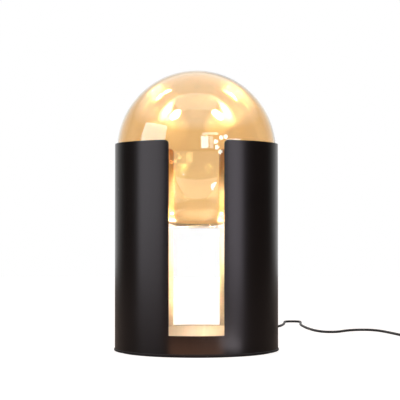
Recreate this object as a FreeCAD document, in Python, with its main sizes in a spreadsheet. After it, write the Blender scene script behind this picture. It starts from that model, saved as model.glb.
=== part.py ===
import FreeCAD, Part

import math
import os

import Sketcher

# A table lamp: a slotted steel drum that carries an amber glass globe on a ring, with two small
# bulbs standing inside the drum, and a lead with a rocker switch and a plug.
# Lengths are in millimetres. The origin is the middle of the lamp's underside, +Z is up, and the
# wide slot faces -Y.

SIZES = {
    # drum and its two slots; its bore follows the globe
    "globe_clearance": 1.5,
    "drum_wall": 1.5,
    "drum_top": 278.5,
    "slot_foot": 28.0,
    "front_slot_width": 71.0,
    "rear_slot_width": 66.0,
    "slot_corner": 5.5,
    # base plate with its felt, and the white floor above it
    "felt_thickness": 1.5,
    "felt_inset": 6.0,
    "plate_thickness": 3.0,
    "plate_overhang": 1.0,
    "floor_thickness": 1.5,
    "floor_drop": 1.0,
    "sheet_gap": 0.3,
    # angle brackets that hold the drum to the base plate
    "bracket_reach": 15.0,
    "bracket_rise": 16.0,
    "bracket_sheet": 2.0,
    "bracket_screw_inset": 10.0,
    # four posts that carry the ring under the globe
    "post_spread": 50.0,
    "post_depth": 36.0,
    "post_radius": 3.0,
    "standoff_radius": 4.5,
    "ring_outer_radius": 42.0,
    "ring_bore_radius": 22.5,
    "ring_sheet": 1.2,
    "ring_bar_width": 10.0,
    # screws
    "stud_radius": 1.95,
    "thread_gap": 0.05,
    "stud_length": 7.0,
    "screw_head_radius": 3.8,
    "screw_head_height": 2.0,
    "nut_flats": 7.0,
    "nut_height": 3.2,
    "small_screw_radius": 1.5,
    # globe and the soft ring that it stands on
    "globe_radius": 107.0,
    "globe_wall": 2.2,
    "globe_foot": 168.0,
    "globe_foot_radius": 28.6,
    "globe_mouth_radius": 24.0,
    "gasket_thickness": 0.8,
    "gasket_skirt": 0.3,
    "seat_gap": 0.05,
    # lamp holders
    "holder_spread": 80.0,
    "holder_top": 100.0,
    "holder_height": 56.0,
    "holder_radius": 14.5,
    "holder_wall": 1.9,
    "holder_lip_radius": 9.4,
    "nipple_radius": 4.9,
    "nipple_bore_radius": 3.6,
    "nipple_tail": 9.0,
    "locknut_flats": 14.0,
    "locknut_height": 3.0,
    "riser_radius": 8.0,
    "sleeve_wall": 0.45,
    "sleeve_height": 23.5,
    "insert_height": 16.0,
    # bulbs
    "cap_radius": 6.95,
    "cap_depth": 24.0,
    "cap_thread_pitch": 2.8,
    "running_gap": 0.1,
    "bulb_radius": 17.5,
    "bulb_glass_wall": 0.9,
    "bulb_glass_height": 74.0,
    "bulb_widest_height": 27.0,
    "filament_radius": 0.9,
    "filament_length": 40.0,
    "filament_circle": 5.2,
    # lead, strain relief and clamp
    "lead_diameter": 4.0,
    "entry_lift": 11.0,
    "relief_length": 26.5,
    "relief_tip_wall": 0.9,
    "relief_root_wall": 2.6,
    "relief_neck_radius": 3.6,
    "relief_flange": 1.6,
    "clamp_width": 20.0,
    "clamp_depth": 10.0,
    "clamp_bar_height": 3.5,
    "clamp_back": 31.0,
    "sheath_back": 48.0,
    "block_width": 26.0,
    "block_depth": 13.0,
    "block_height": 12.5,
    "block_back": 76.0,
    "wire_radius": 0.75,
    # rocker switch in the lead
    "switch_length": 62.0,
    "switch_width": 25.0,
    "switch_height": 15.0,
    "switch_wall": 1.8,
    "switch_end": 9.0,
    "switch_back": 86.0,
    "rocker_width": 11.2,
    "rocker_reach": 10.0,
    "rocker_pivot_height": 11.0,
    "rocker_proud": 2.0,
    "rocker_dish_radius": 30.0,
    "rocker_dish_depth": 0.8,
    "rocker_gap": 0.5,
    "rocker_pin_radius": 1.2,
    "rocker_tilt": 8.0,
    "lever_tilt": 4.8,
    "lever_barrel_radius": 1.0,
    # coil of spare lead and its tie
    "coil_inner_radius": 16.4,
    "coil_turn_gap": 1.4,
    "coil_layer_gap": 0.6,
    "coil_lift": 1.0,
    "tie_width": 6.0,
    "tie_thickness": 0.6,
    # plug
    "plug_lift": 4.85,
    "plug_length": 36.0,
    "plug_width": 26.0,
    "plug_thickness": 13.6,
    "plug_neck_width": 13.0,
    "plug_relief_length": 22.0,
    "pin_radius": 2.0,
    "pin_length": 19.0,
    "pin_spacing": 19.0,
}

doc = FreeCAD.newDocument("table_lamp")
sheet = doc.addObject("Spreadsheet::Sheet", "Sizes")
for row, (name, value) in enumerate(SIZES.items(), start=1):
    sheet.set(f"A{row}", name)
    sheet.set(f"B{row}", str(value))
    sheet.setAlias(f"B{row}", name)
doc.recompute()


class Length:
    """A length that knows its value and the sheet formula that it comes from."""

    def __init__(self, value, formula):
        self.value = value
        self.formula = formula

    def __add__(self, other):
        other = length(other)
        return Length(self.value + other.value, f"({self.formula} + {other.formula})")

    def __sub__(self, other):
        other = length(other)
        return Length(self.value - other.value, f"({self.formula} - {other.formula})")

    def __mul__(self, other):
        other = length(other)
        return Length(self.value * other.value, f"({self.formula} * {other.formula})")

    def __truediv__(self, other):
        other = length(other)
        return Length(self.value / other.value, f"({self.formula} / {other.formula})")

    def __radd__(self, other):
        return length(other) + self

    def __rsub__(self, other):
        return length(other) - self

    def __rmul__(self, other):
        return length(other) * self

    def __neg__(self):
        return Length(-self.value, f"(0 - {self.formula})")


def length(number):
    """Wraps a plain number, and passes a Length through."""
    return number if isinstance(number, Length) else Length(float(number), f"({float(number)})")


def root(square):
    return Length(math.sqrt(square.value), f"sqrt({square.formula})")


class Values:
    """Every cell of the sheet as a Length, such as size.drum_top."""

    def __getattr__(self, alias):
        return Length(float(sheet.get(alias)), f"Sizes.{alias}")


size = Values()
subparts = []


def keep(piece):
    """Marks a finished sub-part; its Label names its file."""
    subparts.append(piece)
    return piece


# Places and rotations

UPRIGHT = FreeCAD.Rotation()
AXIS_TO_BACK = FreeCAD.Rotation(FreeCAD.Vector(1, 0, 0), -90)
AXIS_TO_RIGHT = FreeCAD.Rotation(FreeCAD.Vector(0, 1, 0), 90)
UPSIDE_DOWN = FreeCAD.Rotation(FreeCAD.Vector(1, 0, 0), 180)


def about_z(degrees):
    return FreeCAD.Rotation(FreeCAD.Vector(0, 0, 1), degrees)


def put(piece, place, rotation=UPRIGHT):
    """Places a piece and ties each coordinate to the sheet."""
    place = [length(coordinate) for coordinate in place]
    base = FreeCAD.Vector(*(coordinate.value for coordinate in place))
    piece.Placement = FreeCAD.Placement(base, rotation)
    for axis, coordinate in zip("xyz", place):
        piece.setExpression(f"Placement.Base.{axis}", coordinate.formula)
    return piece


def primitive(kind, label, place, rotation, sizes):
    piece = doc.addObject(kind, label)
    for name, value in sizes.items():
        piece.setExpression(name, length(value).formula)
    return put(piece, place, rotation)


def cylinder(label, radius, height, place, rotation=UPRIGHT):
    return primitive("Part::Cylinder", label, place, rotation, {"Radius": radius, "Height": height})


def cone(label, low_radius, high_radius, height, place):
    sizes = {"Radius1": low_radius, "Radius2": high_radius, "Height": height}
    return primitive("Part::Cone", label, place, UPRIGHT, sizes)


def box(label, low, high):
    """A box between two corners."""
    sides = [length(top) - bottom for bottom, top in zip(low, high)]
    sizes = dict(zip(("Length", "Width", "Height"), sides))
    return primitive("Part::Box", label, low, UPRIGHT, sizes)


def centred_box(label, middle, sides):
    low = [length(place) - side / 2 for place, side in zip(middle, map(length, sides))]
    high = [length(place) + side / 2 for place, side in zip(middle, map(length, sides))]
    return box(label, low, high)


def hexagon(label, flats, height, place):
    piece = doc.addObject("Part::Prism", label)
    piece.Polygon = 6
    piece.setExpression("Circumradius", (flats / math.sqrt(3)).formula)
    piece.setExpression("Height", length(height).formula)
    return put(piece, place)


def fuse(label, pieces):
    piece = doc.addObject("Part::MultiFuse", label)
    piece.Shapes = pieces
    return piece


def cut(label, base, tools):
    piece = doc.addObject("Part::Cut", label)
    piece.Base = base
    piece.Tool = tools[0] if len(tools) == 1 else fuse(label + "_tools", tools)
    return piece


def common(label, base, tool):
    piece = doc.addObject("Part::Common", label)
    piece.Base = base
    piece.Tool = tool
    return piece


def group(label, pieces):
    """Separate solids that share one node, such as identical screws."""
    piece = doc.addObject("Part::Compound", label)
    piece.Links = pieces
    return piece


# Sketched bodies


class Bend:
    """A corner that the outline reaches on an arc, with the arc's centre and direction."""

    def __init__(self, across, up, centre_across, centre_up, clockwise):
        self.corner = (across, up)
        self.centre = (centre_across, centre_up)
        self.clockwise = clockwise


def flat_point(pair):
    across, up = (length(coordinate).value for coordinate in pair)
    return FreeCAD.Vector(across, up, 0)


def draw(sketch, outline):
    """Closes an outline of lines and arcs, with every corner tied to the sheet."""
    corners = [step.corner if isinstance(step, Bend) else step for step in outline]
    starts, ends, ties = [], [], []
    for index, step in enumerate(outline):
        start = flat_point(corners[index - 1])
        end = flat_point(corners[index])
        if not isinstance(step, Bend):
            edge = sketch.addGeometry(Part.LineSegment(start, end), False)
            starts.append((edge, 1))
            ends.append((edge, 2))
            continue
        centre = flat_point(step.centre)
        circle = Part.Circle(centre, FreeCAD.Vector(0, 0, 1), centre.distanceToPoint(start))
        angles = [math.atan2(point.y - centre.y, point.x - centre.x) for point in (start, end)]
        if step.clockwise:
            angles.reverse()
        edge = sketch.addGeometry(Part.ArcOfCircle(circle, *angles), False)
        starts.append((edge, 2 if step.clockwise else 1))
        ends.append((edge, 1 if step.clockwise else 2))
        if step.centre[0] == 0:
            ties.append((Sketcher.Constraint("PointOnObject", edge, 3, -2), None))
        else:
            ties.append(tie("DistanceY", edge, 3, step.centre[1]))
    for index, corner in enumerate(corners):
        following = starts[(index + 1) % len(corners)]
        ties.append((Sketcher.Constraint("Coincident", *ends[index], *following), None))
        for kind, axis, coordinate in (("DistanceX", -2, corner[0]), ("DistanceY", -1, corner[1])):
            if isinstance(coordinate, (int, float)) and coordinate == 0:
                ties.append((Sketcher.Constraint("PointOnObject", *ends[index], axis), None))
            else:
                ties.append(tie(kind, *ends[index], coordinate))
    places = sketch.addConstraint([constraint for constraint, formula in ties])
    for place, (constraint, formula) in zip(places, ties):
        if formula:
            sketch.setExpression(f"Constraints[{place}]", formula)


def tie(kind, edge, point, coordinate):
    coordinate = length(coordinate)
    return Sketcher.Constraint(kind, -1, 1, edge, point, coordinate.value), coordinate.formula


def sketched_body(label, plane_role, outline):
    body = doc.addObject("PartDesign::Body", label)
    sketch = body.newObject("Sketcher::SketchObject", label + "_outline")
    plane = next(item for item in body.Origin.OriginFeatures if item.Role == plane_role)
    sketch.AttachmentSupport = (plane, [""])
    sketch.MapMode = "FlatFace"
    draw(sketch, outline)
    return body, sketch


def turned(label, outline, place=(0, 0, 0), rotation=UPRIGHT, degrees=360):
    """A body turned about its own Z axis; the outline's corners are (radius, height)."""
    body, sketch = sketched_body(label, "XZ_Plane", outline)
    turn = body.newObject("PartDesign::Revolution", label + "_turn")
    turn.Profile = sketch
    turn.ReferenceAxis = (sketch, ["V_Axis"])
    turn.Angle = degrees
    return put(body, place, rotation)


def padded(label, plane_role, outline, thickness, place=(0, 0, 0), rotation=UPRIGHT):
    """A flat outline pushed out to a thickness."""
    body, sketch = sketched_body(label, plane_role, outline)
    pad = body.newObject("PartDesign::Pad", label + "_pad")
    pad.Profile = sketch
    pad.setExpression("Length", length(thickness).formula)
    return put(body, place, rotation)


def ring(label, inner, outer, low, high, place=(0, 0, 0)):
    outline = [(inner, low), (outer, low), (outer, high), (inner, high)]
    return turned(label, outline, place)


def disc(label, radius, low, high, place=(0, 0, 0)):
    return ring(label, 0, radius, low, high, place)


# Heights and places that follow from the sizes

plate_foot = size.felt_thickness
plate_top = plate_foot + size.plate_thickness
floor_top = size.slot_foot - size.floor_drop
floor_foot = floor_top - size.floor_thickness
drum_bore = size.globe_radius + size.globe_clearance
drum_radius = drum_bore + size.drum_wall
tapped_radius = size.stud_radius + size.thread_gap
clearance_radius = size.stud_radius + 4 * size.thread_gap
ring_top = size.globe_foot - size.gasket_thickness - size.seat_gap
ring_foot = ring_top - size.ring_sheet
globe_middle = size.globe_foot + root(
    size.globe_radius * size.globe_radius - size.globe_foot_radius * size.globe_foot_radius)
holder_foot = size.holder_top - size.holder_height
bulb_foot = size.holder_top - size.cap_depth
lead_radius = size.lead_diameter / 2
entry_height = lead_radius + size.entry_lift
corners = [(side, face) for side in (-1, 1) for face in (-1, 1)]
posts = [(side * size.post_spread, face * size.post_depth) for side, face in corners]
bracket_angles = (45, 135, 225, 315)
bracket_screw_radius = drum_bore - size.bracket_screw_inset
diagonal = math.sqrt(0.5)
bracket_screws_at = [(side * diagonal * bracket_screw_radius, face * diagonal * bracket_screw_radius)
                     for side, face in corners]


# Base


def countersunk_screw(label, shank_length, x, y, z):
    """A cross-head screw driven up from below; z is the face of its head."""
    head = size.screw_head_radius
    outline = [(0, 0), (head, 0), (size.stud_radius, size.screw_head_height),
               (size.stud_radius, shank_length), (0, shank_length)]
    blank = turned(label + "_blank", outline, (x, y, z))
    arm, slit, depth = head * 1.1, head * 0.24, size.screw_head_height * 0.6
    one = centred_box(label + "_slit_one", (x, y, z), (arm, slit, depth * 2))
    other = centred_box(label + "_slit_other", (x, y, z), (slit, arm, depth * 2))
    return cut(label, blank, [one, other])


def countersunk_holes(label, places, z):
    """Cutters for the screws' heads and shanks through the base plate."""
    gap = size.thread_gap * 2
    cutters = []
    for number, (x, y) in enumerate(places, start=1):
        head = cone(f"{label}_head_{number}", size.screw_head_radius + gap, size.stud_radius + gap,
                    size.screw_head_height, (x, y, z))
        shank = cylinder(f"{label}_shank_{number}", size.stud_radius + gap, size.plate_thickness,
                         (x, y, z))
        cutters += [head, shank]
    return cutters


def base():
    keep(disc("base_felt", drum_radius - size.felt_inset, 0, size.felt_thickness))

    rim = drum_radius + size.plate_overhang
    bevel = size.plate_overhang * 0.6
    plate = turned("base_plate_blank", [
        (0, plate_foot), (rim - bevel, plate_foot), (rim, plate_foot + bevel),
        (rim, plate_top - bevel), (rim - bevel, plate_top), (0, plate_top)])
    holes = countersunk_holes("post_hole", posts, plate_foot)
    holes += countersunk_holes("bracket_hole", bracket_screws_at, plate_foot)
    keep(cut("base_plate", plate, holes))

    standoffs = [ring(f"standoff_{number}", tapped_radius, size.standoff_radius, plate_top,
                      floor_foot, (x, y, 0)) for number, (x, y) in enumerate(posts, start=1)]
    keep(group("standoffs", standoffs))

    long_shank = size.plate_thickness + size.stud_length
    keep(group("post_screws", [
        countersunk_screw(f"post_screw_{number}", long_shank, x, y, plate_foot)
        for number, (x, y) in enumerate(posts, start=1)]))
    short_shank = size.plate_thickness + size.bracket_sheet
    keep(group("bracket_screws", [
        countersunk_screw(f"bracket_screw_{number}", short_shank, x, y, plate_foot)
        for number, (x, y) in enumerate(bracket_screws_at, start=1)]))

    disc_radius = drum_bore - size.sheet_gap
    floor = disc("floor_blank", disc_radius, floor_foot, floor_top)
    openings = [cylinder(f"floor_post_hole_{number}", clearance_radius, size.floor_thickness,
                         (x, y, floor_foot)) for number, (x, y) in enumerate(posts, start=1)]
    openings += [cylinder(f"floor_holder_hole_{name}", size.nipple_radius + size.running_gap,
                          size.floor_thickness, (side * size.holder_spread, 0, floor_foot))
                 for name, side in (("left", -1), ("right", 1))]
    keep(cut("floor_disc", floor, openings))


# Drum


def slot_cutter(label, width, degrees):
    """The space that one slot takes out of the wall, with rounded shoulders at the rim."""
    half = width / 2
    corner = size.slot_corner
    above = size.drum_top + size.drum_wall
    outline = [
        (-half, size.slot_foot), (half, size.slot_foot), (half, size.drum_top - corner),
        Bend(half + corner, size.drum_top, half + corner, size.drum_top - corner, True),
        (half + corner, above), (-half - corner, above), (-half - corner, size.drum_top),
        Bend(-half, size.drum_top - corner, -half - corner, size.drum_top - corner, True)]
    return padded(label, "XZ_Plane", outline, drum_radius * 1.1, (0, 0, 0), about_z(degrees))


def drum():
    wall = ring("drum_blank", drum_bore, drum_radius, plate_top, size.drum_top)
    front = slot_cutter("front_slot", size.front_slot_width, 0)
    rear = slot_cutter("rear_slot", size.rear_slot_width, 180)
    entry = cylinder("lead_hole", size.relief_neck_radius + size.running_gap, drum_radius,
                     (0, drum_radius / 2, entry_height), AXIS_TO_BACK)
    keep(cut("drum", wall, [front, rear, entry]))

    brackets = []
    span = 8
    inner = drum_bore - size.bracket_sheet
    foot_top = plate_top + size.bracket_sheet
    for degrees, (x, y) in zip((225, 135, 315, 45), bracket_screws_at):
        blank = turned(f"bracket_blank_{degrees}", [
            (drum_bore - size.bracket_reach, plate_top), (drum_bore, plate_top),
            (drum_bore, plate_top + size.bracket_rise), (inner, plate_top + size.bracket_rise),
            (inner, foot_top), (drum_bore - size.bracket_reach, foot_top)],
            (0, 0, 0), about_z(degrees + span / 2), span)
        hole = cylinder(f"bracket_tapped_{degrees}", tapped_radius, size.bracket_sheet,
                        (x, y, plate_top))
        brackets.append(cut(f"bracket_{degrees}", blank, [hole]))
    keep(group("drum_brackets", brackets))


# Ring under the globe


def globe_stand():
    rods, nuts, pads, holes = [], [], [], []
    stud_foot = floor_foot - size.stud_length
    stud_top = ring_top + size.nut_height + 1.5
    for number, (x, y) in enumerate(posts, start=1):
        rods.append(turned(f"post_{number}", [
            (0, stud_foot), (size.stud_radius, stud_foot), (size.stud_radius, floor_top),
            (size.post_radius, floor_top), (size.post_radius, ring_foot),
            (size.stud_radius, ring_foot), (size.stud_radius, stud_top), (0, stud_top)], (x, y, 0)))
        blank = hexagon(f"nut_blank_{number}", size.nut_flats, size.nut_height, (x, y, ring_top))
        bore = cylinder(f"nut_bore_{number}", tapped_radius, size.nut_height, (x, y, ring_top))
        nuts.append(cut(f"post_nut_{number}", blank, [bore]))
        pads.append(cylinder(f"ring_end_{number}", size.ring_bar_width / 2, size.ring_sheet,
                             (x, y, ring_foot)))
        holes.append(cylinder(f"ring_hole_{number}", clearance_radius, size.ring_sheet,
                              (x, y, ring_foot)))
    keep(group("ring_posts", rods))
    keep(group("post_nuts", nuts))

    for name, face in (("front", -1), ("rear", 1)):
        middle = (0, face * size.post_depth, (ring_foot + ring_top) / 2)
        sides = (size.post_spread * 2, size.ring_bar_width, size.ring_sheet)
        pads.append(centred_box(f"ring_bar_{name}", middle, sides))
    pads.append(cylinder("ring_plate", size.ring_outer_radius, size.ring_sheet, (0, 0, ring_foot)))
    holes.append(cylinder("ring_bore", size.ring_bore_radius, size.ring_sheet, (0, 0, ring_foot)))
    keep(cut("globe_ring", fuse("ring_blank", pads), holes))

    gasket_outer = size.globe_foot_radius + 1.4
    gasket_inner = size.ring_bore_radius - 2.0
    skirt = size.ring_bore_radius - size.running_gap
    gasket_top = ring_top + size.gasket_thickness
    skirt_foot = ring_foot - size.gasket_skirt
    keep(turned("globe_gasket", [
        (gasket_inner, skirt_foot), (skirt, skirt_foot), (skirt, ring_top),
        (gasket_outer, ring_top), (gasket_outer, gasket_top), (gasket_inner, gasket_top)]))


def globe():
    """A blown sphere, open at the foot, where its edge is ground flat."""
    inside = size.globe_radius - size.globe_wall
    mouth = size.globe_mouth_radius
    mouth_top = globe_middle - root(inside * inside - mouth * mouth)
    keep(turned("globe", [
        (mouth, size.globe_foot), (size.globe_foot_radius, size.globe_foot),
        Bend(0, globe_middle + size.globe_radius, 0, globe_middle, False),
        (0, globe_middle + inside),
        Bend(mouth, mouth_top, 0, globe_middle, True)]))


# Lamp holders and bulbs


def shared_holder_parts():
    """Identical small parts of the two holders, each kind in one node."""
    nipples, locknuts, risers, contacts, sleeves = [], [], [], [], []
    nipple_bore = size.nipple_radius + size.running_gap
    nipple_top = holder_foot + 8
    insert_top = holder_foot + 14 + size.insert_height
    for name, side in (("left", -1), ("right", 1)):
        x = side * size.holder_spread
        nipples.append(ring(f"nipple_{name}", size.nipple_bore_radius, size.nipple_radius,
                            floor_top - size.nipple_tail, nipple_top, (x, 0, 0)))
        nut_foot = floor_foot - size.locknut_height
        blank = hexagon(f"locknut_blank_{name}", size.locknut_flats, size.locknut_height,
                        (x, 0, nut_foot))
        bore = cylinder(f"locknut_bore_{name}", nipple_bore, size.locknut_height, (x, 0, nut_foot))
        locknuts.append(cut(f"locknut_{name}", blank, [bore]))
        risers.append(ring(f"riser_{name}", nipple_bore, size.riser_radius, floor_top, holder_foot,
                           (x, 0, 0)))
        contact_top = bulb_foot - 2 * size.running_gap
        contacts.append(turned(f"centre_contact_{name}", [
            (0, insert_top), (3.2, insert_top), (3.2, insert_top + 0.5),
            (1.6, contact_top), (0, contact_top)], (x, 0, 0)))
        bore_radius = size.cap_radius + size.running_gap
        sleeve = bore_radius + size.sleeve_wall
        flange = sleeve + 3.0
        sleeves.append(turned(f"screw_sleeve_{name}", [
            (bore_radius, insert_top), (flange, insert_top), (flange, insert_top + size.sleeve_wall),
            (sleeve, insert_top + size.sleeve_wall), (sleeve, insert_top + size.sleeve_height),
            (bore_radius, insert_top + size.sleeve_height)], (x, 0, 0)))
    keep(group("holder_nipples", nipples))
    keep(group("holder_locknuts", locknuts))
    keep(group("holder_risers", risers))
    keep(group("holder_contacts", contacts))
    keep(group("holder_sleeves", sleeves))


def holder(name, x):
    """One lamp holder: a moulded body with an insulating insert on a ledge inside."""
    boss = size.nipple_radius + 4.0
    inside = size.holder_radius - size.holder_wall
    ledge = inside - 1.1
    insert_foot = holder_foot + 14
    lip_foot = size.holder_top - 2.0
    keep(turned(f"{name}_holder", [
        (size.nipple_radius + size.running_gap, holder_foot), (boss, holder_foot),
        (boss, holder_foot + 5), (size.holder_radius, holder_foot + 14),
        (size.holder_radius, size.holder_top - 0.8), (size.holder_radius - 0.8, size.holder_top),
        (size.holder_lip_radius, size.holder_top), (size.holder_lip_radius, lip_foot),
        (inside, lip_foot), (inside, insert_foot), (ledge, insert_foot),
        (ledge, insert_foot - 1), (boss - 2, holder_foot + 8),
        (size.nipple_radius + size.running_gap, holder_foot + 8)], (x, 0, 0)))
    insert_top = insert_foot + size.insert_height
    keep(ring(f"{name}_holder_insert", 2.2, inside - size.running_gap, insert_foot, insert_top,
              (x, 0, 0)))


def thread_outline(low, count, crest, pitch):
    """Corners up the outside of a rolled thread, from low to low + count * pitch."""
    valley = crest - 0.45
    corners = []
    for turn in range(count):
        start = low + turn * pitch
        corners += [(valley, start), (crest, start + pitch * 0.35), (crest, start + pitch * 0.65)]
    return corners + [(valley, low + count * pitch)]


def bulb(name, x):
    """A clear candle bulb: contact, insulator, screw cap, glass, stem and four filaments."""
    contact_top = bulb_foot + 2
    keep(disc(f"{name}_bulb_contact", 2.5, bulb_foot, contact_top, (x, 0, 0)))
    thread_foot = bulb_foot + 4
    keep(turned(f"{name}_bulb_insulator", [
        (0, contact_top), (2.5, contact_top), (2.5, bulb_foot + 1), (4.4, bulb_foot + 1),
        (6.3, thread_foot), (0, thread_foot)], (x, 0, 0)))

    crest = size.cap_radius
    thread_turns = 6
    thread_top = thread_foot + thread_turns * size.cap_thread_pitch
    lip = size.holder_top + 1
    collar = size.cap_radius + 1.65
    bore = crest - 0.85
    keep(turned(f"{name}_bulb_cap", thread_outline(thread_foot, thread_turns, crest,
                                                   size.cap_thread_pitch) + [
        (crest, thread_top + 0.8), (collar, lip), (collar, lip + 2.2), (collar - 0.4, lip + 2.2),
        (collar - 0.4, lip), (bore, thread_top + 0.8), (bore, thread_foot)], (x, 0, 0)))

    neck = collar - 0.5
    glass_foot = lip + 0.1
    neck_top = glass_foot + 2.8
    widest = glass_foot + size.bulb_widest_height
    tip = glass_foot + size.bulb_glass_height
    tip_radius = 2.4
    wall = size.bulb_glass_wall
    outer = candle_outline(neck, neck_top, size.bulb_radius, widest, tip_radius, tip)
    inner = candle_outline(neck - wall, neck_top, size.bulb_radius - wall, widest,
                           tip_radius - wall / 2, tip - wall)
    keep(turned(f"{name}_bulb_glass", [
        (neck - wall, glass_foot), (neck, glass_foot), (neck, neck_top), outer["belly"],
        outer["shoulder"], (0, tip), (0, tip - wall), inner["tip"], inner["belly_down"],
        inner["foot_down"]], (x, 0, 0)))

    stem_foot = glass_foot
    hub_low = widest - 10
    hub_high = hub_low + size.filament_length + 0.8
    press = neck - wall - 0.15
    hub = size.filament_circle + size.filament_radius + 0.4
    keep(turned(f"{name}_bulb_stem", [
        (0, stem_foot), (press, stem_foot), (press, stem_foot + 1), (2.6, stem_foot + 3),
        (2.2, hub_low - 1), (hub, hub_low - 0.8), (hub, hub_low), (0.5, hub_low),
        (0.5, hub_high - 0.8), (hub, hub_high - 0.8), (hub, hub_high), (0, hub_high)], (x, 0, 0)))
    filaments = []
    for number in range(4):
        angle = math.radians(45 + 90 * number)
        place = (x + size.filament_circle * math.cos(angle), size.filament_circle * math.sin(angle),
                 hub_low)
        filaments.append(cylinder(f"{name}_filament_{number + 1}", size.filament_radius,
                                  size.filament_length, place))
    keep(group(f"{name}_bulb_filaments", filaments))


def candle_outline(neck, foot, belly, widest, tip_radius, tip):
    """Steps up and down one side of a candle shape, whose two arcs are upright at the belly."""
    low_radius = arc_radius(belly - neck, widest - foot)
    high_radius = arc_radius(belly - tip_radius, tip - 1.6 - widest)
    shoulder = tip - 1.6
    return {
        "belly": Bend(belly, widest, belly - low_radius, widest, False),
        "shoulder": Bend(tip_radius, shoulder, belly - high_radius, widest, False),
        "tip": (tip_radius, shoulder),
        "belly_down": Bend(belly, widest, belly - high_radius, widest, True),
        "foot_down": Bend(neck, foot, belly - low_radius, widest, True),
    }


def arc_radius(inset, rise):
    """The radius of an arc that starts upright and moves in by inset over its rise."""
    return (inset * inset + rise * rise) / (2 * inset)


# Lead, wires and coil, which follow routes of points


def tangent_route(points):
    """Straight runs joined by arcs tangent to both; gives the edges and the arcs' radii."""
    edges, radii = [], []
    start = points[0]
    for before, corner, after in zip(points, points[1:], points[2:]):
        arriving, leaving = corner - before, after - corner
        reach = 0.45 * min(arriving.Length, leaving.Length)
        half_turn = arriving.getAngle(leaving) / 2
        radius = reach / math.tan(half_turn)
        arriving.normalize()
        leaving.normalize()
        inward = (leaving - arriving).normalize()
        arc_start, arc_end = corner - arriving * reach, corner + leaving * reach
        arc_middle = corner + inward * (radius / math.cos(half_turn) - radius)
        edges.append(Part.LineSegment(start, arc_start).toShape())
        edges.append(Part.Arc(arc_start, arc_middle, arc_end).toShape())
        radii.append(radius)
        start = arc_end
    edges.append(Part.LineSegment(start, points[-1]).toShape())
    return edges, radii


def tube(edges, radius):
    """A round tube along a path of joined edges, and the path's length."""
    path = Part.Wire(edges)
    first = edges[0]
    start = first.valueAt(first.FirstParameter)
    heading = first.tangentAt(first.FirstParameter)
    section = Part.Wire([Part.Circle(start, heading, radius).toShape()])
    solid = path.makePipeShell([section], True, False)
    expected = math.pi * radius * radius * path.Length
    if abs(solid.Volume - expected) > 0.01 * expected:
        raise ValueError(f"tube volume {solid.Volume:.0f}, expected {expected:.0f}")
    return solid, path.Length


def shaped(label, shape):
    """A sub-part whose shape is computed here, then placed."""
    piece = doc.addObject("Part::Feature", label)
    piece.Shape = shape
    piece.Placement = FreeCAD.Placement()
    return piece


# Route points of the lead: x from the lamp's middle, y from the back of the drum, and the height
# of the lead's axis above its own radius.

LYING = 0.2
TO_SWITCH = [
    (0, 26.5, 11.0), (0, 38, 11.0), (1.2, 51.5, 4.8), (1.0, 64, 2.4), (0, 76, 5.5), (0, 86, 5.5)]
FROM_SWITCH = [
    (0, 148, 5.5), (0, 159, 5.5), (1.5, 175, 1.4), (7, 198, LYING), (20, 228, LYING),
    (42, 256, LYING), (72, 274, LYING), (102, 291, LYING), (128, 317, LYING), (141, 350, LYING),
    (148, 384, LYING), (151.5, 414, LYING), (153.6, 438, LYING), (154.6, 456.6, LYING),
    (162.5, 465.4, LYING), (174.6, 465.5, LYING), (182.6, 456.8, LYING), (181.8, 438, LYING),
    (179.5, 412, LYING), (177, 375, LYING), (179, 335, LYING), (182, 294, LYING),
    (188, 252, LYING), (195, 226, LYING), (202.5, 212, LYING), (215.5, 208.8, LYING),
    (226.5, 216.5, LYING), (232, 228, LYING), (246, 248, LYING), (262, 258, LYING),
    (282, 256, LYING), (294, 234, LYING), (303, 198, LYING), (312, 152, LYING),
    (321, 112, LYING), (325.6, 92, 1.0), (325.6, 79, 1.0)]
COIL_START = (325.6, 79.0)
TO_PLUG = [(0, 0, 0), (0, 8, 0), (-4.2, 17, -0.25), (-10.6, 25, -0.75), (-12.4, 33.5, -0.75),
           (-12.4, 42, -0.75)]


def lead_points(route):
    radius = lead_radius.value
    back = drum_radius.value
    return [FreeCAD.Vector(x, back + y, radius + lift) for x, y, lift in route]


def lead_stretch(label, points):
    edges, radii = tangent_route(points)
    solid, run = tube(edges, lead_radius.value)
    print(f"{label}: length {run:.0f}, radii {[round(radius, 1) for radius in radii]}")
    keep(shaped(label, solid))
    return run


def half_turn(start, end, through):
    """A flat half circle between two points, passing one side of their middle."""
    middle = (start + end) / 2
    return Part.Arc(start, middle + through * (end - start).Length / 2, end)


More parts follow.
